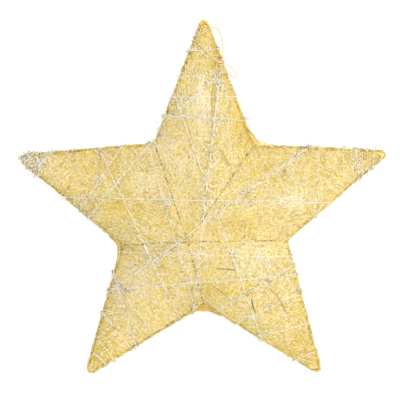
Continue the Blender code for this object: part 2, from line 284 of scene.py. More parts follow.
def strand_mesh(name: str, nodes: Array, radii: Array,
                paleness: Array | None = None) -> bpy.types.Object:
    """One object of many thin closed strands, each a three-sided tube along its own points.

    Args:
        name: Name of the object.
        nodes: (strands, points, 3) array of places.
        radii: (strands, points) array of radii.
        paleness: How bleached each strand is, from -1 to 1, kept as a point attribute.

    Returns:
        The object, at the origin, with its mesh in place.
    """
    strands, points, _ = nodes.shape
    sides = STRAND_SIDES
    tangent = np.gradient(nodes, axis=1)
    tangent /= np.linalg.norm(tangent, axis=2, keepdims=True) + SMALLEST
    facing = np.zeros_like(tangent)
    facing[..., 1] = -1.0
    steep = np.abs(tangent[..., 1]) > 0.92
    facing[steep] = (1.0, 0.0, 0.0)
    across = np.cross(tangent, facing)
    across /= np.linalg.norm(across, axis=2, keepdims=True) + SMALLEST
    lift = np.cross(across, tangent)
    rings = []
    for k in range(sides):
        angle = 2.0 * math.pi * k / sides
        rings.append(nodes + (across * math.cos(angle) + lift * math.sin(angle)) * radii[..., None])
    verts = np.stack(rings, axis=2).reshape(-1, 3)
    start = (np.arange(strands) * points * sides)[:, None, None]
    ring = (np.arange(points - 1) * sides)[None, :, None]
    k = np.arange(sides)[None, None, :]
    j = (k + 1) % sides
    ring = start + ring
    quads = np.stack([ring + k, ring + j, ring + sides + j, ring + sides + k], axis=-1).reshape(-1, 4)
    first = start[:, 0] + np.arange(sides)[None, ::-1]
    last = start[:, 0] + (points - 1) * sides + np.arange(sides)[None, :]
    caps = np.concatenate([first, last])
    mesh = bpy.data.meshes.new(name)
    mesh.vertices.add(len(verts))
    mesh.vertices.foreach_set("co", verts.astype(np.float32).ravel())
    mesh.loops.add(quads.size + caps.size)
    mesh.loops.foreach_set("vertex_index", np.concatenate([quads.ravel(), caps.ravel()]).astype(np.int32))
    mesh.polygons.add(len(quads) + len(caps))
    starts = np.concatenate([np.arange(len(quads)) * 4, quads.size + np.arange(len(caps)) * sides])
    mesh.polygons.foreach_set("loop_start", starts.astype(np.int32))
    mesh.polygons.foreach_set("use_smooth", np.ones(len(starts), dtype=bool))
    mesh.update(calc_edges=True)
    mesh.validate()
    if paleness is not None:
        levels = np.repeat(paleness, points * sides).astype(np.float32)
        mesh.attributes.new("paleness", "FLOAT", "POINT").data.foreach_set("value", levels)
    piece = bpy.data.objects.new(name, mesh)
    bpy.context.collection.objects.link(piece)
    return piece


def fibre_piece(name: str, nodes: Array, radii: Array, material: Material,
                paleness: Array | None = None) -> None:
    """Makes one piece of sisal strands and hands it to the frame."""
    piece = strand_mesh(name, nodes, radii, paleness)
    piece.data.materials.append(material)
    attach(piece, "root")
    LOG.info("built %s, %d strands", piece.name, len(nodes))


# Finishes


def new_material(name: str) -> tuple[Material, Tree, bpy.types.Node]:
    """A material with nodes, its tree and its Principled shader."""
    material = bpy.data.materials.new(name)
    material.use_nodes = True
    return material, material.node_tree, material.node_tree.nodes["Principled BSDF"]


def connect(tree: Tree, target: bpy.types.Node, inputs: Inputs) -> None:
    """Gives inputs of a shader node their values, by a link where the value is a socket."""
    for name, value in inputs.items():
        if isinstance(value, Socket):
            tree.links.new(value, target.inputs[name])
        else:
            target.inputs[name].default_value = value


def add_node(tree: Tree, kind: str, output: str, inputs: Inputs, **settings: str) -> Socket:
    """Adds a shader node.

    Args:
        tree: The material's node tree.
        kind: The last part of its type's name.
        output: Name of the output that is wanted.
        inputs: Values and sockets for its inputs.
        settings: Values of its own properties.

    Returns:
        The output socket.
    """
    made = tree.nodes.new(f"ShaderNode{kind}")
    for name, value in settings.items():
        setattr(made, name, value)
    connect(tree, made, inputs)
    return made.outputs[output]


def star_place(tree: Tree) -> Socket:
    """Place of the shaded point in the part's frame."""
    return add_node(tree, "TexCoord", "Object", {})


def attribute(tree: Tree, name: str) -> Socket:
    """Value of a point attribute."""
    return add_node(tree, "Attribute", "Fac", {}, attribute_name=name)


def calculate(tree: Tree, operation: str, *values: Socket | float) -> Socket:
    """Result of a sum over sockets and numbers."""
    return add_node(tree, "Math", "Value", dict(enumerate(values)), operation=operation)


def noise(tree: Tree, scale: float, detail: float = 2.0) -> Socket:
    """Cloudy noise over the star."""
    return add_node(tree, "TexNoise", "Fac", {"Vector": star_place(tree), "Scale": scale, "Detail": detail})


def bump(tree: Tree, height: Socket, strength: float, distance: float) -> Socket:
    """Normal of a surface that a value raises."""
    return add_node(tree, "Bump", "Normal", {"Height": height, "Strength": strength, "Distance": distance})


def ramp(tree: Tree, source: Socket, stops: Sequence[tuple[float, Colour]]) -> Socket:
    """Colour ramp over a value.

    Args:
        tree: The material's node tree.
        source: The value.
        stops: Positions with their colours, in order.

    Returns:
        The colour socket.
    """
    colour = add_node(tree, "ValToRGB", "Color", {"Fac": source})
    elements = colour.node.color_ramp.elements
    while len(elements) < len(stops):
        elements.new(0.5)
    for element, (position, shade) in zip(elements, stops):
        element.position = position
        element.color = (*shade, 1.0)
    return colour


@dataclass(frozen=True)
class Streaks:
    """A two-dimensional pattern of crossing fibre streaks, as shader nodes."""

    length: float = 0.014
    width: float = 0.0008
    through: float = 1000.0
    bearings: tuple[float, ...] = (8.0, 38.0, 71.0, 104.0, 141.0)
    start: float = 0.0

    def build(self, tree: Tree) -> Socket:
        """Adds the nodes to a material.

        Args:
            tree: The material's node tree.

        Returns:
            A socket between 0 in the gaps and 1 on the topmost fibres.
        """
        place = star_place(tree)
        highest = None
        for number, bearing in enumerate(self.bearings):
            turned = add_node(tree, "Mapping", "Vector", {
                "Vector": place,
                "Location": (0.31 * number + self.start, 0.0, 0.17 * number),
                "Rotation": (0.0, math.radians(bearing), 0.0),
                "Scale": (self.length, self.through, self.width),
            }, vector_type="TEXTURE")
            layer = add_node(tree, "TexNoise", "Fac", {
                "Vector": turned, "Scale": 1.0, "Detail": 2.0, "Roughness": 0.6,
            })
            highest = layer if highest is None else calculate(tree, "MAXIMUM", highest, layer)
        return highest


@dataclass(frozen=True)
class FleeceFinish:
    """Matted sisal under the loose fibres: streaky, with gaps that light and wires show through, and with
    painted shade on the fibres beside the gaps and painted light on the topmost ones.
    """

    # shade and light are painted shade and painted light, set by the fibres' height in the streaks.
    shade: Colour = (0.66, 0.46, 0.11)
    body: Colour = (0.92, 0.72, 0.23)
    light: Colour = (0.99, 0.93, 0.68)
    gap_level: float = 0.56
    thin_gain: float = -0.02
    thin_light: float = 0.07
    slot: float = 0.0008
    slot_grain: float = 330.0

    def build(self, name: str, start: float) -> Material:
        """The finished material.

        Args:
            name: Name of the material.
            start: Where its pattern starts, so that front and back differ.

        Returns:
            The material.
        """
        material, tree, shader = new_material(name)
        streaks = Streaks(start=start).build(tree)
        thinness = attribute(tree, "thinness")
        # thin_light lifts the colour where the cover is pale and lowers it along the rim: painted light and
        # painted shade, together with thin fleece.
        shown = calculate(tree, "MULTIPLY_ADD", thinness, self.thin_light, streaks)
        level = calculate(tree, "MULTIPLY_ADD", thinness, self.thin_gain, self.gap_level)
        cover = calculate(tree, "GREATER_THAN", streaks, level)
        breaks = noise(tree, self.slot_grain, detail=1.0)
        slot = calculate(tree, "MULTIPLY_ADD", breaks, self.slot * 6.0, -self.slot * 2.5)
        over_wire = calculate(tree, "GREATER_THAN", attribute(tree, "wire_gap"), slot)
        connect(tree, shader, {
            # The ramp paints shade low in the streaks, beside the gaps, and painted light on the topmost
            # fibres.
            "Base Color": ramp(tree, shown, ((0.54, self.shade), (0.62, self.body), (0.74, self.light))),
            "Alpha": calculate(tree, "MINIMUM", cover, over_wire),
            "Normal": bump(tree, streaks, 0.5, 0.0005),
            "Roughness": 0.9,
            "Specular IOR Level": 0.15,
        })
        return material


@dataclass(frozen=True)
class FibreFinish:
    """One shade of sisal fibre, grainy along its length, with a faint silky shine."""

    colour: Colour
    grain: float = 1100.0
    darker: Colour = (0.94, 0.82, 0.16)
    green: Colour = (0.94, 1.01, 0.82)
    white: Colour = (0.99, 0.93, 0.80)
    bleached: float = 0.92
    pale_gain: float = 0.32
    roughness: float = 0.6

    def build(self, name: str) -> Material:
        """The finished material."""
        material, tree, shader = new_material(name)
        cells = add_node(tree, "TexVoronoi", "Color", {"Vector": star_place(tree), "Scale": self.grain})
        grains = add_node(tree, "SeparateColor", "Red", {"Color": cells})
        # The paleness attribute carries the cover's painted light and shade into the fibre colour, over the
        # random grain.
        level = calculate(tree, "MULTIPLY_ADD", attribute(tree, "paleness"), self.pale_gain, grains)
        dark = tuple(c * d for c, d in zip(self.colour, self.darker))
        green = tuple(c * g for c, g in zip(self.colour, self.green))
        pink, bright = (tuple(c + (w - c) * share for c, w in zip(self.colour, self.white))
                        for share in (self.bleached * 0.3, self.bleached))
        stops = ((0.18, dark), (0.34, green), (0.50, self.colour), (0.66, pink), (0.82, bright))
        connect(tree, shader, {
            "Base Color": ramp(tree, level, stops),
            "Roughness": self.roughness,
            "Specular IOR Level": 0.35,
        })
        return material


@dataclass(frozen=True)
class TinselFinish:
    """Metallised film in its own colour, also built as a dark copy that is painted shade for hairs in
    shadow.
    """

    colour: Colour
    roughness: float = 0.32
    metallic: float = 0.75
    uneven: float = 0.1

    def build(self, name: str) -> Material:
        """The finished material."""
        material, tree, shader = new_material(name)
        dark = tuple(c * (1.0 - self.uneven) for c in self.colour)
        connect(tree, shader, {
            "Base Color": ramp(tree, noise(tree, 900.0), ((0.35, dark), (0.55, self.colour))),
            "Roughness": self.roughness,
            "Metallic": self.metallic,
        })
        return material


@dataclass(frozen=True)
class WireFinish:
    """Dark annealed iron wire: dull olive black with a little rust."""

    scale: Colour = (0.17, 0.155, 0.075)
    rust: Colour = (0.30, 0.22, 0.10)

    def build(self, name: str) -> Material:
        """The finished material."""
        material, tree, shader = new_material(name)
        clouds = noise(tree, 240.0, detail=4.0)
        connect(tree, shader, {
            "Base Color": ramp(tree, clouds, ((0.45, self.scale), (0.68, self.rust))),
            "Normal": bump(tree, clouds, 0.3, 0.0001),
            "Roughness": 0.6,
            "Metallic": 0.3,
        })
        return material


@dataclass(frozen=True)
class ThreadFinish:
    """Peach-gold sewing thread with a fine twist, with painted shade in the twist's grooves."""

    colour: Colour = (0.80, 0.56, 0.27)
    shade: Colour = (0.58, 0.37, 0.15)
    twist: float = 0.0016

    def build(self, name: str) -> Material:
        """The finished material."""
        material, tree, shader = new_material(name)
        wave = add_node(tree, "TexWave", "Fac", {
            "Vector": star_place(tree), "Scale": 1.0 / (self.twist * 3.0), "Distortion": 1.5,
        }, bands_direction="DIAGONAL")
        connect(tree, shader, {
            # The shade stop darkens the low bands of the twist, the same bands the bump sinks: painted
            # shade.
            "Base Color": ramp(tree, wave, ((0.1, self.shade), (0.6, self.colour))),
            "Normal": bump(tree, wave, 0.5, 0.0002),
            "Roughness": 0.5,
        })
        return material


# Pieces

# Ways on the photo that locks of two shades share, in pixels
MIDDLE_LOCK = ((214, 72), (212.9, 86), (212, 100), (212, 114), (212.5, 134))
RIGHT_TIP_LOCK = ((370, 151.6), (378, 151.8), (382.2, 153.6), (380.6, 158.2), (374, 163.4))


@dataclass
class WireFrame:
    """The bent wires of the frame, which keep their own solids and get their finish."""

    nodes: tuple[str, ...] = ("outline_wire", "front_cross_rib", "front_long_rib", "front_short_rib",
                              "back_cross_rib", "back_long_rib", "back_short_rib")
    finish: WireFinish = WireFinish()

    def build(self) -> None:
        """Dresses each wire."""
        material = self.finish.build("dark_wire")
        for name in self.nodes:
            wire = bpy.data.objects[name]
            wire.data.materials.clear()
            wire.data.materials.append(material)
            LOG.info("dressed %s", name)


@dataclass
class FibreCover:
    """Loose and broken sisal fibres lying over one side of the star, in several shades.

    Each patch is a middle and two reaches in photo pixels, and how pale the cover is there: thin, bleached
    fleece together with painted light, and painted shade where the strength is negative.
    """

    form: StarForm
    side: Side
    count: int
    seed: int
    length: Pair = (0.008, 0.036)
    radius: Pair = (0.00011, 0.00022)
    loft: float = 0.0005
    waviness: float = 0.0003
    points: int = 4
    combed: float = 0.7
    spread: float = 0.35
    bend: float = 6.0
    drift: float = 26.0
    phases: tuple[float, float, float, float] = (0.4, 2.1, 4.4, 0.9)
    pale_share: float = 0.24
    gold_share: float = 0.46
    olive_share: float = 0.04
    thinned: float = 0.35
    ribs_shown: tuple[float, ...] = (0.8, 0.7, 0.5, 0.5, 0.8)
    rim_shown: float = 0.55
    rim_depth: float = 0.0030
    covered_tip: float = 0.014
    # Painted shade in a band along the rim.
    rim_dark: float = 0.45
    # Shares of white flecks, which are painted highlights, of olive flecks, which carry painted shade
    # between the fibres, and of brown flecks.
    white_flecks: float = 1.35
    olive_flecks: float = 0.55
    brown_flecks: float = 0.05
    dot_share: float = 0.22
    white_dot_share: float = 0.4
    dot_girth: float = 2.5
    fleck_length: Pair = (0.0014, 0.0048)
    fleck_radius: Pair = (0.00011, 0.00024)
    fleck_loft: Pair = (0.0003, 0.0008)
    fleck_turn: float = 0.4
    white_base: float = 0.25
    white_gain: float = 0.95
    wire_stretch: Pair = (0.001, 0.005)
    cut_share: float = 0.8
    cut_margin: float = 0.0006
    patch_gain: float = 0.6
    patches: tuple[tuple[float, float, float, float, float], ...] = (
        (202, 100, 15, 32, 1), (165, 147, 12, 11, 0.9), (145, 181, 16, 12, 0.9),
        (287, 199, 22, 11, 1), (256, 254, 18, 12, 0.9), (140, 281, 12, 16, 0.8),
        (185, 165, 14, 14, 0.6), (214, 60, 10, 16, -0.8), (366, 158, 16, 8, -0.8),
        (246, 126, 10, 16, -1), (118, 205, 22, 14, -0.7), (230, 225, 20, 12, -0.5),
        (106, 165, 16, 10, -0.6), (215, 290, 25, 10, -0.6), (300, 345, 14, 16, -0.7),
        (262, 165, 12, 9, -0.6), (100, 350, 10, 16, -0.6),
    )

    def paleness(self, places: Array) -> Array:
        """How pale the cover is at places, from -1 to 1: thin and bleached fleece, with painted light and
        painted shade in it.
        """
        value = np.zeros(len(places))
        # The patches paint light where the fleece is thin and paint shade where their strength is negative.
        for left, top, wide, high, strength in self.patches:
            reach = ((places - from_photo(left, top)) / np.array([wide * PIXEL, high * PIXEL])) ** 2
            value += self.patch_gain * strength * np.exp(-reach.sum(axis=1))
        # Painted shade along the rim.
        value -= self.rim_dark * np.exp(-np.abs(self.form.rim_gaps(places)[0]) / self.rim_depth)
        return np.clip(value, -1.0, 1.0)

    def build(self, finishes: Finishes) -> None:
        """Scatters fibres and flecks over the side and makes one piece of each of their shades.

        Args:
            finishes: The material of each shade.
        """
        rng = np.random.default_rng(self.seed)
        paths = self.paths(rng)
        paleness = self.paleness(paths[:, self.points // 2])
        kept = rng.random(len(paths)) > self.thinned * np.maximum(paleness, 0.0)
        paths, paleness = paths[kept], paleness[kept]
        paths = self.cut_at_wires(paths, rng)
        count = len(paths)
        margins = 0.0004 + self.rim_depth * rng.random(count) ** 2
        flat = self.form.held_inside(paths.reshape(-1, 2), np.repeat(margins, self.points))
        flat = flat.reshape(paths.shape)
        loft = rng.uniform(0.0, self.loft, (count, 1))
        loft = loft + rng.uniform(0.0, self.waviness, (count, self.points))
        nodes = self.form.lifted(flat, self.side, loft)
        radii = np.repeat(rng.uniform(*self.radius, (count, 1)), self.points, axis=1)
        radii[:, (0, -1)] *= 0.5
        # The cover's painted light and shade also set the shares of pale, gold and olive fibres.
        draw = rng.random(count)
        pale = draw < self.pale_share * (1.0 + paleness)
        gold = draw > 1.0 - self.gold_share * (1.0 - paleness)
        olive = draw > 1.0 - self.olive_share * (1.0 - paleness)
        shades = {Tone.PALE: pale, Tone.GOLD: gold & ~pale & ~olive, Tone.OLIVE: olive & ~pale,
                  Tone.STRAW: ~pale & ~gold}
        for tone, chosen in shades.items():
            name = f"{self.side.word}_fibres_{tone.value}"
            fibre_piece(name, nodes[chosen], radii[chosen], finishes[tone], paleness[chosen])
        # Olive flecks are partly darker fibre bits and partly painted shade between the fibres; brown ones
        # also darken the rim band.
        for tone, share in ((Tone.WHITE, self.white_flecks), (Tone.OLIVE, self.olive_flecks),
                            (Tone.BROWN, self.brown_flecks)):
            self.flecks(tone, round(share * self.count), rng, finishes)

    def flecks(self, tone: Tone, count: int, rng: Rng,
               finishes: Finishes) -> None:
        """Strews short flecks over the cover: white ones, mostly where it is pale, as painted highlights of
        glints and of light through gaps; olive ones as darker fibre bits with painted shade between the
        fibres; brown ones as dark fibres, with painted shade in the rim band.

        Args:
            tone: Their shade.
            count: How many are tried.
            rng: Source of chance.
            finishes: The material of each shade.
        """
        middles = self.strewn(count, rng)
        # White flecks are painted highlights of glints and of light through gaps, most where the cover is
        # pale.
        if tone is Tone.WHITE:
            chance = np.clip(self.white_base + self.white_gain * self.paleness(middles), 0.03, 1.0)
        else:
            chance = np.clip(0.5 - 0.5 * self.paleness(middles), 0.2, 1.0)
        # Brown flecks crowd into the rim band as painted shade there, beside the brown fibres strewn over
        # the cover.
        if tone is Tone.BROWN:
            chance = np.where(self.form.rim_gaps(middles)[0] < self.rim_depth, 1.0, 0.35 * chance)
            edge = self.along_rim(count // 2, rng)
            middles, chance = np.concatenate([middles, edge]), np.concatenate([chance, np.ones(len(edge))])
        middles = middles[rng.random(len(middles)) < chance]
        count = len(middles)
        bearing = self.lie(middles) + rng.normal(0.0, self.fleck_turn, count)
        dots = rng.random((count, 1)) < (self.white_dot_share if tone is Tone.WHITE else self.dot_share)
        reach = rng.uniform(*self.fleck_length, count)[:, None] * np.where(dots, 0.2, 0.5)
        way = np.stack([np.cos(bearing), np.sin(bearing)], axis=1)
        flat = np.stack([middles - way * reach, middles, middles + way * reach], axis=1)
        flat = self.form.held_inside(flat.reshape(-1, 2), 0.0008).reshape(flat.shape)
        nodes = self.form.lifted(flat, self.side, rng.uniform(*self.fleck_loft, (count, 1)))
        radii = rng.uniform(*self.fleck_radius, (count, 1)) * np.where(dots, self.dot_girth, 1.0)
        radii = radii * np.array([[0.5, 1.0, 0.5]])
        name = f"{self.side.word}_flecks_{tone.value}"
        fibre_piece(name, nodes, radii, finishes[tone], self.paleness(middles))

    def strewn(self, count: int, rng: Rng) -> Array:
        """Places strewn evenly over the star, (count, 2)."""
        low, high = self.form.corners.min(axis=0), self.form.corners.max(axis=0)
        places = np.empty((0, 2))
        while len(places) < count:
            tries = rng.uniform(low, high, (count * 3, 2))
            places = np.concatenate([places, tries[self.form.inside(tries)]])
        return places[:count]

    def along_rim(self, count: int, rng: Rng) -> Array:
        """Places strewn along the rim, in the band that the outline wire runs in, (count, 2)."""
        turns = rng.uniform(0.0, len(self.form.corners), count)
        found = [self.form.rim_place(turn) for turn in turns]
        return np.array([place - outward * rng.uniform(0.0004, self.rim_depth) for place, outward in found])

    def paths(self, rng: Rng) -> Array:
        """Curved paths in the star's plane, (fibres, points, 2), with their middles on the star."""
        middles = self.strewn(self.count, rng)
        lengths = rng.uniform(*self.length, self.count)
        bearing = self.lie(middles) + rng.normal(0.0, self.spread, self.count)
        strewn = rng.random(self.count) > self.combed
        bearing = np.where(strewn, rng.uniform(0.0, math.pi, self.count), bearing)
        bend = rng.normal(0.0, self.bend, self.count)
        steps = np.linspace(-0.5, 0.5, self.points)[None, :] * lengths[:, None]
        heading = bearing[:, None] + bend[:, None] * steps
        spacing = (lengths / (self.points - 1))[:, None]
        x = np.cumsum(np.cos(heading), axis=1) * spacing
        z = np.cumsum(np.sin(heading), axis=1) * spacing
        half = self.points // 2
        x += middles[:, :1] - x[:, half:half + 1]
        z += middles[:, 1:] - z[:, half:half + 1]
        return np.stack([x, z], axis=2)

    def lie(self, places: Array) -> Array:
        """Bearing in which the fibres mostly lie at places, drifting slowly over the star."""
        x, z = places[:, 0] * self.drift, places[:, 1] * self.drift
        phases = self.phases
        waves = np.sin(x + phases[0]) + np.sin(z * 1.2 + phases[1]) + np.sin((x + z) * 0.8 + phases[2])
        return waves * 1.1 + phases[3]

    def cut_at_wires(self, paths: Array, rng: Rng) -> Array:
        """Shortens fibres so that they stop at stretches of wire that show.

        Args:
            paths: (fibres, points, 2) array of places.
            rng: Source of chance.

        Returns:
            The paths, with the cut ones drawn up into their longer part.
        """
        points = paths.shape[1]
        starts, legs = paths[:, :-1], np.diff(paths, axis=1)
        cuts = np.full(len(paths), -1.0)
        for number, (begin, end) in enumerate(self.form.wire_legs()):
            along = end - begin
            length = float(np.linalg.norm(along))
            bounds = np.cumsum(rng.uniform(*self.wire_stretch, int(length / 0.003) * 2))
            rib = number - len(self.form.corners)
            shown = self.rim_shown if rib < 0 else self.ribs_shown[rib]
            showing = rng.random(len(bounds) + 1) < shown
            cross = legs[..., 0] * along[1] - legs[..., 1] * along[0]
            cross = np.where(np.abs(cross) < SMALLEST, SMALLEST, cross)
            offset = begin - starts
            on_fibre = (offset[..., 0] * along[1] - offset[..., 1] * along[0]) / cross
            on_wire = (offset[..., 0] * legs[..., 1] - offset[..., 1] * legs[..., 0]) / cross
            met = (on_fibre >= 0) & (on_fibre < 1) & (on_wire >= 0) & (on_wire <= 1)
            if rib < 0:
                met &= np.where(number % 2, 1.0 - on_wire, on_wire) * length > self.covered_tip
            met &= showing[np.searchsorted(bounds, np.clip(on_wire, 0, 1) * length)]
            fibre, leg = np.nonzero(met)
            chosen = rng.random(len(fibre)) < self.cut_share
            cuts[fibre[chosen]] = leg[chosen] + on_fibre[fibre[chosen], leg[chosen]]
        result = paths.copy()
        for i in np.nonzero(cuts > 0)[0]:
            cut = cuts[i]
            margin = self.cut_margin / max(float(np.linalg.norm(legs[i, int(cut)])), 1e-6)
            low, high = (0.0, cut - margin) if cut > (points - 1) / 2 else (cut + margin, points - 1.0)
            at = np.linspace(max(low, 0.0), min(high, points - 1.0), points)
            for axis in range(2):
                result[i, :, axis] = np.interp(at, np.arange(points), paths[i, :, axis])
        return result


@dataclass
class FleeceSkin:
    """The matted body of one fleece, a thin wall with gaps, over the frame's solid."""

    form: StarForm
    cover: FibreCover
    side: Side
    flat: Pair = (0.425, 0.405)
    unevenness: float = 0.0010
    covered_tip: float = 0.016
    levels: int = 2
    lump_size: float = 0.012
    off_wires: float = 0.02

    def build(self, material: Material) -> None:
        """Args:
            material: The fleece finish.
        """
        node = bpy.data.objects[f"{self.side.word}_fleece"]
        skin = node.copy()
        skin.data = node.data.copy()
        skin.name = f"{self.side.word}_fleece_mat"
        skin.data.name = skin.name
        bpy.context.collection.objects.link(skin)
        self.refine(skin)
        self.paint(skin.data)
        skin.data.materials.clear()
        skin.data.materials.append(material)
        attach(skin, "root")
        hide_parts(node.name)
        self.half_surface(skin.data)
        LOG.info("built %s, %d faces", skin.name, len(skin.data.polygons))

    def refine(self, skin: bpy.types.Object) -> None:
        """Merges, subdivides and roughens the copy with Blender's own tools."""
        bpy.ops.object.select_all(action="DESELECT")
        skin.select_set(True)
        bpy.context.view_layer.objects.active = skin
        bpy.ops.object.mode_set(mode="EDIT")
        bpy.ops.mesh.select_all(action="SELECT")
        bpy.ops.mesh.remove_doubles(threshold=0.00001)
        bpy.ops.mesh.tris_convert_to_quads(face_threshold=math.radians(60.0),
                                           shape_threshold=math.radians(80.0))
        bpy.ops.object.mode_set(mode="OBJECT")
        finer = skin.modifiers.new("finer", "SUBSURF")
        finer.subdivision_type = "SIMPLE"
        finer.levels = self.levels
        finer.render_levels = self.levels
        bpy.ops.object.modifier_apply(modifier=finer.name)
        clouds = bpy.data.textures.new("matted_lumps", "CLOUDS")
        clouds.noise_scale = self.lump_size
        lumps = skin.modifiers.new("lumps", "DISPLACE")
        lumps.texture = clouds
        lumps.texture_coords = "LOCAL"
        lumps.strength = self.unevenness
        lumps.mid_level = 0.6
        bpy.ops.object.modifier_apply(modifier=lumps.name)
        bpy.ops.object.shade_smooth()
        skin.select_set(False)

    def paint(self, mesh: bpy.types.Mesh) -> None:
        """Marks how pale the fleece is, for thin fleece and for painted light and shade, and how far each
        point lies from the nearest wire under it.
        """
        count = len(mesh.vertices)
        places = np.empty(count * 3)
        mesh.vertices.foreach_get("co", places)
        flat = places.reshape(-1, 3)[:, (0, 2)]
        gap = np.abs(self.form.rim_gaps(flat)[0] - WIRE_INSET)
        for start, end in self.form.wire_legs()[len(self.form.corners):]:
            gap = np.minimum(gap, self.segment_gap(flat, start, end))
        for tip in self.form.corners[::2]:
            gap = np.where(np.linalg.norm(flat - tip, axis=1) < self.covered_tip, self.off_wires, gap)
        for name, values in (("thinness", self.cover.paleness(flat)), ("wire_gap", gap)):
            mesh.attributes.new(name, "FLOAT", "POINT").data.foreach_set("value", values)

    @staticmethod
    def segment_gap(places: Array, start: Array, end: Array) -> Array:
        """Distance of each place from a straight segment."""
        along = end - start
        share = np.clip(((places - start) @ along) / (along @ along), 0.0, 1.0)
        return np.linalg.norm(places - (start + share[:, None] * along), axis=1)

    @staticmethod
    def half_surface(mesh: bpy.types.Mesh) -> float:
        """Half the closed wall's surface, the sheet's own area."""
        return sum(face.area for face in mesh.polygons) / 2.0


@dataclass
class RimFuzz:
    """Short fibres that lie along the rim and stand a little out of it, in three shades."""

    form: StarForm
    counts: tuple[tuple[Tone, int], ...] = ((Tone.STRAW, 780), (Tone.OLIVE, 860), (Tone.BROWN, 480))
    loose_share: float = 0.07
    loose_gain: float = 2.5
    off_tip: float = 0.07
    seed: int = 71
    reach: float = 0.0019
    half_depth: float = 0.0018
    sunk: float = 0.0003
    run: Pair = (0.003, 0.012)
    radius: float = 0.00014
    points: int = 5

    def build(self, finishes: Finishes) -> None:
        """Makes one piece of each shade.

        Args:
            finishes: The material of each shade.
        """
        rng = np.random.default_rng(self.seed)
        for tone, count in self.counts:
            nodes = np.array([self.fibre(rng) for _ in range(count)])
            radii = np.full(nodes.shape[:2], self.radius)
            fibre_piece(f"rim_fuzz_{tone.value}", nodes, radii, finishes[tone])

    def fibre(self, rng: Rng) -> Array:
        """Points of one fibre along the rim, bowed out of it."""
        edge = int(rng.integers(0, len(self.form.corners)))
        following = self.form.corners[(edge + 1) % len(self.form.corners)]
        length = float(np.linalg.norm(following - self.form.corners[edge]))
        span = rng.uniform(*self.run) / length
        low, high = (self.off_tip, 1.0) if edge % 2 == 0 else (0.0, 1.0 - self.off_tip)
        start = rng.uniform(low, high - span)
        rise = rng.uniform(-0.3, 1.0) * abs(rng.normal(0.0, 0.6)) * self.reach
        if rng.random() < self.loose_share:
            rise = abs(rise) * self.loose_gain
        depth = rng.uniform(-self.half_depth, self.half_depth)
        points = np.empty((self.points, 3))
        for k, share in enumerate(np.linspace(0.0, 1.0, self.points)):
            place, outward = self.form.rim_place(edge + start + span * share)
            spot = place + outward * (rise * math.sin(math.pi * (0.1 + 0.8 * share)) - self.sunk)
            points[k] = (spot[0], depth, spot[1])
        return points


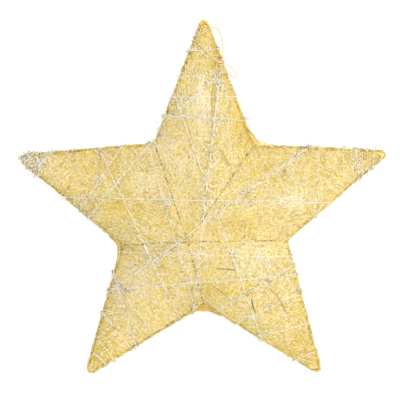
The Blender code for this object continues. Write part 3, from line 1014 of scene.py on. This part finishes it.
@dataclass
class StrayFibres:
    """Single fibres and loose locks that stand out on the front, laid where the photo shows them.

    Each entry is a shade, the strands in the lock, its width in pixels and the way it runs on the photo.
    """

    form: StarForm
    seed: int = 23
    radius: float = 0.00020
    loft: Pair = (0.0007, 0.0013)
    points: int = 7
    locks: tuple[tuple[Tone, int, float, tuple[Pair, ...]], ...] = (
        (Tone.BROWN, 6, 0.3, ((214, 267.4), (225, 267.8), (235.8, 269))),
        (Tone.BROWN, 7, 0.4, ((250.4, 296.7), (252, 304), (254.8, 312.4))),
        (Tone.OLIVE, 5, 0.4, ((266, 286), (274, 291.8), (282, 304), (290, 320))),
        (Tone.RUST, 4, 0.2, ((210.8, 284.2), (217, 287.8), (223.3, 292.9), (228, 297))),
        (Tone.OLIVE, 11, 1.2, MIDDLE_LOCK),
        (Tone.GOLD, 12, 1.5, MIDDLE_LOCK),
        (Tone.BROWN, 4, 0.8, ((213.2, 134), (213.5, 140))),
        (Tone.OLIVE, 3, 0.5, ((182, 147), (186, 151), (189, 156))),
        (Tone.OLIVE, 1, 0.3, ((187, 120), (190, 132), (193, 145))),
        (Tone.OLIVE, 3, 0.5, ((217, 146), (224, 157), (231, 169))),
        (Tone.OLIVE, 2, 0.9, ((124, 171), (138, 169.6), (150, 169.8), (161, 168))),
        (Tone.OLIVE, 2, 0.8, ((112, 177), (122, 176), (132, 177))),
        (Tone.STRAW, 26, 1.1, ((255, 146), (260, 143.6), (265, 143), (270, 145), (275, 147))),
        (Tone.GOLD, 22, 1.1, ((255, 146.5), (260, 144.2), (265, 143.4), (270, 145.6), (275, 147))),
        (Tone.PALE, 2, 0.6, ((268, 143), (274, 137), (281, 135.6), (290, 142), (293, 146))),
        (Tone.OLIVE, 14, 1.3, ((247.5, 127), (251, 134), (254.6, 139.6), (259, 142.6), (266, 143.6))),
        (Tone.GOLD, 34, 1.4, ((246.5, 130), (250.4, 136), (253.8, 141), (258.6, 143.6), (264, 145))),
        (Tone.OLIVE, 60, 1.5, ((246.5, 127), (250.4, 134.6), (254, 140.2), (258.6, 143.2), (265, 144.6))),
        (Tone.OLIVE, 26, 0.8,
         ((107, 233.8), (113, 238.8), (117.4, 243.6), (118.2, 251), (117.4, 259), (115.6, 268))),
        (Tone.GOLD, 24, 0.9,
         ((109, 236), (115, 240.6), (118.6, 244.8), (119.2, 251), (118.2, 258), (116.4, 266))),
        (Tone.OLIVE, 34, 1,
         ((108, 235), (115, 240.6), (118.6, 244.8), (119.2, 251), (118.2, 258), (116.4, 266))),
        (Tone.OLIVE, 24, 0.7, ((376, 150.2), (381.6, 150.2), (384.8, 152.6), (384, 156.4), (380.6, 160))),
        (Tone.GOLD, 40, 1.2, RIGHT_TIP_LOCK),
        (Tone.OLIVE, 22, 1.3, RIGHT_TIP_LOCK),
        (Tone.GOLD, 14, 0.7, ((318, 359), (319.8, 365.6), (319.4, 369.8), (316, 371), (311, 369.6))),
        (Tone.GOLD, 14, 0.7, ((89.6, 358), (87.4, 364), (87.2, 369.4), (90, 371.8), (94, 370.6))),
        (Tone.OLIVE, 18, 0.7, ((318, 357), (319.8, 365.6), (319.4, 369.8), (316, 371), (311, 369.6))),
        (Tone.OLIVE, 18, 0.7, ((89.6, 356), (87.4, 364), (87.2, 369.4), (90, 371.8), (94, 370.6))),
        (Tone.OLIVE, 44, 1.2, ((188, 311), (196, 306.4), (203, 304.6), (210, 306.4), (219, 311.6))),
        (Tone.GOLD, 30, 1.3,
         ((184, 316), (193, 311), (199, 308.8), (206, 308.8), (213, 311.2), (223, 316.5))),
        (Tone.OLIVE, 36, 1.3,
         ((188, 313.4), (194, 309.4), (199.5, 307.4), (206, 307.4), (212, 309.8), (220, 314.6))),
        (Tone.OLIVE, 34, 1.3,
         ((184, 315.4), (193, 311), (199, 308.8), (206, 308.8), (213, 311.2), (223, 316.5))),
        (Tone.OLIVE, 14, 0.8,
         ((198, 32), (198.8, 26), (200.3, 21.5), (203.6, 19.9), (207.1, 21.4), (208.8, 29))),
        (Tone.GOLD, 34, 1.1,
         ((198, 32), (198.9, 26), (200.5, 22), (203.6, 20.4), (207.1, 22.2), (208.8, 30))),
        (Tone.OLIVE, 28, 1.2, ((198, 33), (198.9, 27), (201, 23), (203.6, 21.4), (206.5, 23), (208.8, 32))),
    )

    def build(self, finishes: Finishes) -> None:
        """Makes one piece of each shade.

        Args:
            finishes: The material of each shade.
        """
        rng = np.random.default_rng(self.seed)
        strands: dict[Tone, list[Array]] = {}
        for tone, count, width, route in self.locks:
            strands.setdefault(tone, []).extend(self.strand(route, width, rng) for _ in range(count))
        for tone, paths in strands.items():
            nodes = np.array(paths)
            radii = np.full(nodes.shape[:2], self.radius)
            radii[:, (0, -1)] *= 0.4
            fibre_piece(f"stray_{tone.value}", nodes, radii, finishes[tone])

    def strand(self, route: Sequence[Pair], width: float, rng: Rng) -> Array:
        """Points of one strand along a lock's route, on the fleece.

        Args:
            route: Photo pixels that the lock runs through.
            width: Half the lock's width in pixels.
            rng: Source of chance.

        Returns:
            (points, 3) array of places.
        """
        pixels = np.array(route) + rng.normal(0.0, width * 0.6, (1, 2))
        pixels = pixels + rng.normal(0.0, width * 0.3, (len(route), 2))
        shorter = min(0.5, width * 0.35)
        first = rng.uniform(0.0, shorter)
        last = rng.uniform(first + 1.0 - 2.0 * shorter, 1.0)
        at = np.linspace(first, last, self.points) * (len(route) - 1)
        bends = np.arange(len(route))
        flat = np.stack([np.interp(at, bends, pixels[:, 0]), np.interp(at, bends, pixels[:, 1])], axis=1)
        flat[1:-1] = (flat[:-2] + 2.0 * flat[1:-1] + flat[2:]) / 4.0
        flat = np.array([from_photo(*spot) for spot in flat])
        return self.form.lifted(flat, Side.FRONT, rng.uniform(*self.loft))


@dataclass
class TinselThread:
    """The eyelash tinsel: a core wound front and back, and its short hairs.

    Each nest or bristle is a middle and two reaches in photo pixels, and its number of hairs.
    """

    form: StarForm
    turns: tuple[Pair, ...] = (
        (9.57, 0.88), (9.36, 0.65), (9.54, 0.50), (9.72, 0.30), (9.61, 0.27), (9.18, 0.79), (5.49, 0.61),
        (6.63, 5.26), (6.39, 5.43), (6.19, 5.76), (6.75, 3.33), (4.40, 3.50), (4.19, 3.78), (4.26, 3.68),
        (4.44, 3.20), (4.59, 3.22), (6.88, 3.05), (6.82, 5.09), (8.60, 3.36), (9.65, 4.91), (1.04, 4.93),
        (1.39, 4.81), (1.22, 2.62), (1.02, 2.70), (1.57, 2.35), (1.70, 2.18), (1.80, 2.24), (1.87, 2.24),
        (1.72, 2.08), (1.90, 2.09), (1.85, 2.14), (7.42, 2.47), (8.27, 7.68), (8.13, 7.81), (8.35, 7.51),
        (8.53, 7.26),
    )
    core_radius: float = 0.00030
    hair_length: Pair = (0.0020, 0.0062)
    hair_radius: float = 0.00026
    hair_spacing: float = 0.0023
    hair_spread: float = 0.0024
    clump: float = 0.018
    clear: float = 0.0011
    strong: tuple[int, ...] = (0, 5, 14, 18, 19, 23, 25)
    sunk: tuple[int, ...] = (2, 4, 15, 16, 24, 34, 35)
    sunk_clear: float = 0.0003
    sway: float = 0.0006
    rim_clear: float = 0.0004
    rim_depth: float = 0.0026
    strong_share: float = 2.2
    plain_share: float = 0.9
    nest_loft: Pair = (0.0002, 0.0012)
    tuft_length: float = 0.85
    curl: float = 0.22
    tuft: int = 7
    # Shares of hairs in the dark copy of the film, painted shade for hairs in shadow, along passes and in
    # tufts.
    grey_share: float = 0.22
    tuft_grey_share: float = 0.38
    step: float = 0.004
    seed: int = 5
    nests: tuple[Nest, ...] = (
        (38, 161, 13, 9, 90), (361, 163, 13, 18, 110), (83, 198, 8, 7, 26),
        (103, 155, 8, 7, 34), (98, 176, 7, 14, 44), (167, 206, 6, 16, 40),
        (122, 285, 9, 10, 34), (164, 245, 8, 5, 16), (178, 243, 9, 5, 16),
        (172, 292, 6, 7, 16), (158, 262, 8, 5, 16), (268, 268, 5, 12, 16),
        (138, 225, 4, 4, 8), (160, 132, 8, 9, 14), (153, 143, 9, 6, 14),
        (172, 100, 7, 14, 16), (162, 122, 8, 12, 16), (219, 84, 6, 22, 44),
        (195, 48, 6, 10, 16), (206, 185, 8, 26, 50),
        (277, 173, 9, 6, 26), (241, 192, 7, 6, 22), (133, 265, 9, 7, 16),
    )
    bristles: tuple[Nest, ...] = (
        (24, 157, 7, 5, 90), (36, 166, 9, 7, 50),
    )

    def passes(self, side: Side) -> list[Array]:
        """Points of each pass over one side, from rim to rim, (points, 3)."""
        if side is Side.FRONT:
            pairs = list(self.turns)
        else:
            pairs = [(self.turns[i][1], self.turns[i + 1][0]) for i in range(len(self.turns) - 1)]
        clears = [self.sunk_clear if i in self.sunk else self.clear for i in range(len(pairs))]
        return [self.laid(start, end, side, clear) for (start, end), clear in zip(pairs, clears)]

    def laid(self, start: float, end: float, side: Side, clear: float) -> Array:
        """One taut pass, resting on the fleece where it stands highest and turned round the rim at its ends.

        Args:
            start: Rim place where the pass begins.
            end: Rim place where it ends.
            side: The face it crosses.
            clear: How far its middle stands off the fleece.

        Returns:
            (points, 3) array of places.
        """
        (begin, begin_out), (finish, finish_out) = self.form.rim_place(start), self.form.rim_place(end)
        begin, finish = begin + begin_out * self.core_radius, finish + finish_out * self.core_radius
        length = float(np.linalg.norm(finish - begin))
        count = max(6, int(length / self.step))
        shares = np.linspace(0.0, 1.0, count)
        flat = begin[None] * (1.0 - shares[:, None]) + finish[None] * shares[:, None]
        phase = start * 7.0 + end * 3.0
        bow = np.sin(shares * math.pi) * np.sin(shares * (3.0 + length * 20.0) + phase) * self.sway
        flat += bow[:, None] * np.array([begin_out[1], -begin_out[0]])
        depth = self.form.depths(flat, side, outside=self.rim_depth) + clear
        hull = self.upper_hull(shares * length, depth)
        depth = np.maximum(np.interp(shares * length, shares[hull] * length, depth[hull]), depth)
        nodes = np.empty((count + 2, 3))
        nodes[1:-1, 0], nodes[1:-1, 2] = flat[:, 0], flat[:, 1]
        nodes[1:-1, 1] = -side.value * depth
        nodes[0, ::2] = begin + begin_out * self.rim_clear
        nodes[-1, ::2] = finish + finish_out * self.rim_clear
        nodes[(0, -1), 1] = 0.0
        return nodes

    @staticmethod
    def upper_hull(along: Array, depth: Array) -> list[int]:
        """Indices of the points that a taut thread touches."""
        hull: list[int] = []
        for i in range(len(along)):
            while len(hull) > 1:
                a, b = hull[-2], hull[-1]
                rise, highest = depth[i] - depth[a], depth[b] - depth[a]
                if (along[b] - along[a]) * rise < (along[i] - along[a]) * highest:
                    break
                hull.pop()
            hull.append(i)
        return hull

    def build(self, core: Material, bright: Material, grey: Material) -> None:
        """Makes the core and the hairs of both sides.

        Args:
            core: Finish of the core.
            bright: Finish of the hairs that catch the light.
            grey: Finish of the hairs that don't.
        """
        rng = np.random.default_rng(self.seed)
        cores: list[Array] = []
        hairs: list[Array] = []
        tufts: list[Array] = []
        for side in Side:
            for number, nodes in enumerate(self.passes(side)):
                cores.append(nodes)
                share = self.strong_share if number in self.strong else self.plain_share
                hairs += self.hairs_on(nodes, side, share, rng)
                tufts += self.end_tufts(nodes, side, rng)
            hairs += self.nest_hairs(self.nests, side, rng)
            tufts += self.nest_hairs(self.bristles, side, rng)
        nodes = np.array(hairs + tufts)
        # Dark hairs are painted shade: the same film, darkened for hairs that lie in shadow.
        shares = np.repeat((self.grey_share, self.tuft_grey_share), (len(hairs), len(tufts)))
        is_painted_shade = rng.random(len(nodes)) < shares
        self.core_piece(cores, core, rng)
        for word, chosen, material in (("bright", ~is_painted_shade, bright), ("grey", is_painted_shade, grey)):
            taper = np.array([1.0, 1.0, 0.8, 0.35]) * self.hair_radius
            radii = taper * rng.uniform(0.7, 1.25, (int(chosen.sum()), 1))
            piece = strand_mesh(f"tinsel_hairs_{word}", nodes[chosen], radii)
            piece.data.materials.append(material)
            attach(piece, "root")
            LOG.info("built %s, %d hairs", piece.name, len(radii))

    def core_piece(self, cores: list[Array], material: Material, rng: Rng) -> None:
        """Joins the tubes of all passes into the core piece, which stands for the frame's thread."""
        parts = []
        for nodes in cores:
            radii = self.core_radius * rng.uniform(0.7, 1.4, (1, len(nodes)))
            parts.append(strand_mesh("tinsel_core", nodes[None], radii))
        bpy.ops.object.select_all(action="DESELECT")
        for part in parts:
            part.select_set(True)
        bpy.context.view_layer.objects.active = parts[0]
        bpy.ops.object.join()
        piece = parts[0]
        piece.data.materials.clear()
        piece.data.materials.append(material)
        piece.select_set(False)
        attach(piece, "root")
        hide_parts("tinsel_thread")
        LOG.info("built %s, %d passes", piece.name, len(cores))

    def hairs_on(self, nodes: Array, side: Side, share: float, rng: Rng) -> list[Array]:
        """Hairs along one pass, thick in some stretches and thin in others.

        Args:
            nodes: The pass's points.
            side: The face it crosses.
            share: How thickly this pass is haired.
            rng: Source of chance.

        Returns:
            The hairs' points.
        """
        hairs = []
        legs = np.diff(nodes, axis=0)
        lengths = np.linalg.norm(legs, axis=1)
        walked = np.cumsum(lengths)
        clumps = np.minimum(rng.gamma(1.3, 0.77 * share, int(walked[-1] / self.clump) + 3), 3.2)
        for start, leg, length, so_far in zip(nodes, legs, lengths, walked):
            thick = float(np.interp(so_far / self.clump, np.arange(len(clumps)), clumps))
            for _ in range(rng.poisson(length / self.hair_spacing * thick)):
                root = start + leg * rng.random()
                root = root + self.any_way(rng) * abs(rng.normal(0.0, self.hair_spread))
                hairs.append(self.hair(root, self.any_way(rng), side, rng))
        return hairs

    def end_tufts(self, nodes: Array, side: Side, rng: Rng) -> list[Array]:
        """Hairs where one pass turns round the rim, some of them standing out of it.

        Args:
            nodes: The pass's points.
            side: The face it crosses.
            rng: Source of chance.

        Returns:
            The hairs' points.
        """
        hairs = []
        facing = side.facing
        for end, inner in ((0, 4), (-1, -5)):
            outward = nodes[end] - nodes[inner]
            outward[1] = 0.0
            outward /= np.linalg.norm(outward) + SMALLEST
            for _ in range(rng.poisson(self.tuft * rng.gamma(1.2, 0.8))):
                way = outward * rng.uniform(0.1, 1.0) + self.any_way(rng) * 0.8
                way = way + facing * rng.normal(0.0, 0.3)
                root = nodes[end] + (nodes[inner] - nodes[end]) * rng.uniform(0.0, 0.12)
                root = root + np.cross(outward, facing) * rng.normal(0.0, 0.0014)
                hairs.append(root + (self.hair(root, way, side, rng) - root) * self.tuft_length)
        return hairs

    def nest_hairs(self, nests: Sequence[Nest], side: Side,
                   rng: Rng) -> list[Array]:
        """Hairs that are matted together in nests, each an ellipse on the photo, four points a hair."""
        hairs = []
        for left, top, wide, high, count in nests:
            spots = rng.normal(0.0, 0.5, (count, 2)) * np.array([wide, high]) + np.array([left, top])
            flat = np.array([from_photo(*spot) for spot in spots])
            flat = self.form.held_inside(flat, 0.0006)
            for root in self.form.lifted(flat, side, rng.uniform(*self.nest_loft, count)):
                hairs.append(self.hair(root, self.any_way(rng), side, rng))
        return hairs

    @staticmethod
    def any_way(rng: Rng) -> Array:
        """A direction in the star's plane, of any bearing."""
        bearing = rng.uniform(0.0, 2.0 * math.pi)
        return np.array([math.cos(bearing), 0.0, math.sin(bearing)])

    def hair(self, root: Array, way: Array, side: Side, rng: Rng) -> Array:
        """Four points of one curled hair from its root along its way."""
        way = unit(way)
        aside = np.cross(way, side.facing)
        reach = rng.uniform(*self.hair_length)
        curl = rng.normal(0.0, self.curl) * reach
        rise = side.facing * rng.uniform(0.0, 0.35) * reach
        shares = np.array([0.0, 0.33, 0.67, 1.0])[:, None]
        return root + way * reach * shares + aside * curl * shares ** 2 + rise * np.sin(shares * 2.2)


@dataclass
class HangingCord:
    """The thin thread at the top tip, along the same route as in the frame."""

    diameter: float = 0.0012
    fineness: int = 12
    route: tuple[Place, ...] = (
        (-0.0070, 0.0046, -0.0173), (-0.0104, 0.0040, -0.0167), (-0.0123, 0.0004, -0.0161),
        (-0.0110, -0.0032, -0.0151), (-0.0074, -0.0044, -0.0137), (-0.0036, -0.0049, -0.0120),
        (0.0012, -0.0051, -0.0096), (0.0056, -0.0046, -0.0071), (0.0094, -0.0038, -0.0056),
        (0.0134, -0.0035, -0.0063), (0.0169, -0.0036, -0.0103), (0.0192, -0.0039, -0.0192),
        (0.0204, -0.0044, -0.0282), (0.0205, -0.0053, -0.0352), (0.0201, -0.0067, -0.0397),
        (0.0191, -0.0079, -0.0429), (0.0184, -0.0084, -0.0457), (0.0182, -0.0087, -0.0483),
        (0.0187, -0.0091, -0.0509), (0.0204, -0.0096, -0.0531), (0.0228, -0.0091, -0.0545),
        (0.0258, -0.0078, -0.0562), (0.0294, -0.0057, -0.0585), (0.0326, -0.0043, -0.0603),
        (0.0352, -0.0041, -0.0597), (0.0358, -0.0042, -0.0573), (0.0336, -0.0049, -0.0533),
        (0.0300, -0.0061, -0.0495), (0.0262, -0.0082, -0.0473), (0.0222, -0.0100, -0.0467),
        (0.0184, -0.0109, -0.0467), (0.0160, -0.0086, -0.0464), (0.0183, -0.0061, -0.0458),
        (0.0208, -0.0084, -0.0451), (0.0184, -0.0108, -0.0442), (0.0144, -0.0100, -0.0424),
        (0.0098, -0.0087, -0.0383), (0.0040, -0.0085, -0.0329), (-0.0018, -0.0084, -0.0275),
        (-0.0062, -0.0072, -0.0233), (-0.0097, -0.0050, -0.0209), (-0.0124, -0.0035, -0.0200),
        (-0.0138, 0.0000, -0.0199), (-0.0122, 0.0038, -0.0205), (-0.0085, 0.0047, -0.0211),
    )

    def smooth_points(self) -> list[Vector]:
        """Points along a smooth curve through the route."""
        controls = [Vector(point) for point in self.route]
        fine = []
        for i in range(len(controls) - 1):
            before, after = controls[max(i - 1, 0)], controls[min(i + 2, len(controls) - 1)]
            start, end = controls[i], controls[i + 1]
            for k in range(self.fineness):
                t = k / self.fineness
                fine.append(0.5 * (2.0 * start + (end - before) * t
                                   + (2.0 * before - 5.0 * start + 4.0 * end - after) * t * t
                                   + (3.0 * start - before - 3.0 * end + after) * t * t * t))
        fine.append(controls[-1])
        return fine

    def build(self, material: Material) -> None:
        """Args:
            material: The thread finish.
        """
        points = self.smooth_points()
        curve = bpy.data.curves.new("hanging_thread", "CURVE")
        curve.dimensions = "3D"
        curve.bevel_depth = self.diameter / 2.0
        curve.bevel_resolution = 2
        curve.use_fill_caps = True
        spline = curve.splines.new("POLY")
        spline.points.add(len(points) - 1)
        for target, point in zip(spline.points, points):
            target.co = (*point, 1.0)
        curve.materials.append(material)
        piece = bpy.data.objects.new("hanging_thread", curve)
        bpy.context.collection.objects.link(piece)
        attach(piece, "root")
        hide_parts("hanging_cord")


@dataclass
class Studio:
    """White surroundings, soft lights and the camera at the photo's angle."""

    distance: float = 2.6
    world_strength: float = 1.11
    floor_drop: float = 0.75
    key_power: float = 23.5
    key_size: float = 1.6
    key_place: Place = (1.0, -1.6, 0.2)
    key_target: Place = (0.0, 0.0, -0.19)

    def build(self) -> None:
        """Makes floor, world, lights and camera."""
        self.white_world()
        self.pale_floor()
        self.soft_light("key_light", self.key_place)
        self.camera()
        bpy.context.scene.view_settings.view_transform = "Standard"
        LOG.info("built the studio")

    def white_world(self) -> None:
        """Even white surroundings."""
        world = bpy.data.worlds.new("white_room")
        world.use_nodes = True
        background = world.node_tree.nodes["Background"]
        background.inputs["Color"].default_value = (1.0, 1.0, 1.0, 1.0)
        background.inputs["Strength"].default_value = self.world_strength
        bpy.context.scene.world = world

    def pale_floor(self) -> None:
        """A pale floor below the hanging star."""
        bpy.ops.object.select_all(action="DESELECT")
        bpy.ops.mesh.primitive_plane_add(size=6.0, location=(0.0, 0.0, -self.floor_drop))
        floor = bpy.context.active_object
        floor.name = "floor"
        material, _, shader = new_material("pale_floor")
        shader.inputs["Base Color"].default_value = (0.95, 0.95, 0.95, 1.0)
        shader.inputs["Roughness"].default_value = 0.9
        floor.data.materials.append(material)

    def soft_light(self, name: str, place: Place) -> None:
        """A large square lamp that looks at the star's middle."""
        data = bpy.data.lights.new(name, "AREA")
        data.size = self.key_size
        data.energy = self.key_power
        lamp = bpy.data.objects.new(name, data)
        lamp.location = place
        lamp.rotation_euler = (Vector(self.key_target) - Vector(place)).to_track_quat("-Z", "Y").to_euler()
        bpy.context.collection.objects.link(lamp)

    def camera(self) -> None:
        """The camera, square on to the front, as far as a long lens stands."""
        data = bpy.data.cameras.new("photo_camera")
        data.lens = data.sensor_width * self.distance / (PHOTO_WIDTH * PIXEL)
        camera = bpy.data.objects.new("photo_camera", data)
        x, z = from_photo(*PHOTO_MIDDLE)
        camera.location = (x, -self.distance, z)
        camera.rotation_euler = (math.radians(90.0), 0.0, 0.0)
        bpy.context.collection.objects.link(camera)
        bpy.context.scene.camera = camera


def main() -> None:
    """Builds the star's looks and the studio."""
    logging.basicConfig(level=logging.INFO, format="%(message)s")
    Studio().build()
    HangingCord().build(ThreadFinish().build("gold_thread"))
    form = StarForm()
    WireFrame().build()
    finishes = {
        Tone.PALE: FibreFinish((0.95, 0.90, 0.66)).build("pale_fibre"),
        Tone.STRAW: FibreFinish((0.93, 0.75, 0.145)).build("straw_fibre"),
        Tone.GOLD: FibreFinish((0.88, 0.67, 0.10)).build("gold_fibre"),
        # White flecks are painted highlights of glints.
        Tone.WHITE: FibreFinish((0.98, 0.96, 0.90), darker=(0.97, 0.95, 0.88)).build("white_fleck"),
        Tone.OLIVE: FibreFinish((0.64, 0.46, 0.12), bleached=0.1).build("olive_fleck"),
        Tone.BROWN: FibreFinish((0.26, 0.22, 0.10), bleached=0.1).build("brown_fleck"),
        Tone.RUST: FibreFinish((0.55, 0.24, 0.10), bleached=0.1).build("rusty_fibre"),
    }
    covers = (FibreCover(form, Side.FRONT, 15000, 11), FibreCover(form, Side.BACK, 7000, 12))
    for start, cover in enumerate(covers):
        mat = FleeceFinish().build(f"{cover.side.word}_matted_sisal", float(start))
        FleeceSkin(form, cover, cover.side).build(mat)
        cover.build(finishes)
    RimFuzz(form).build(finishes)
    StrayFibres(form).build(finishes)
    TinselThread(form).build(
        TinselFinish((0.99, 0.97, 0.90), metallic=0.1).build("tinsel_core"),
        TinselFinish((1.0, 0.97, 0.86), metallic=0.0).build("tinsel_bright"),
        # Dark copy of the tinsel film: painted shade.
        TinselFinish((0.34, 0.28, 0.13), metallic=0.1).build("tinsel_grey"),
    )


if __name__ == "__main__":
    main()
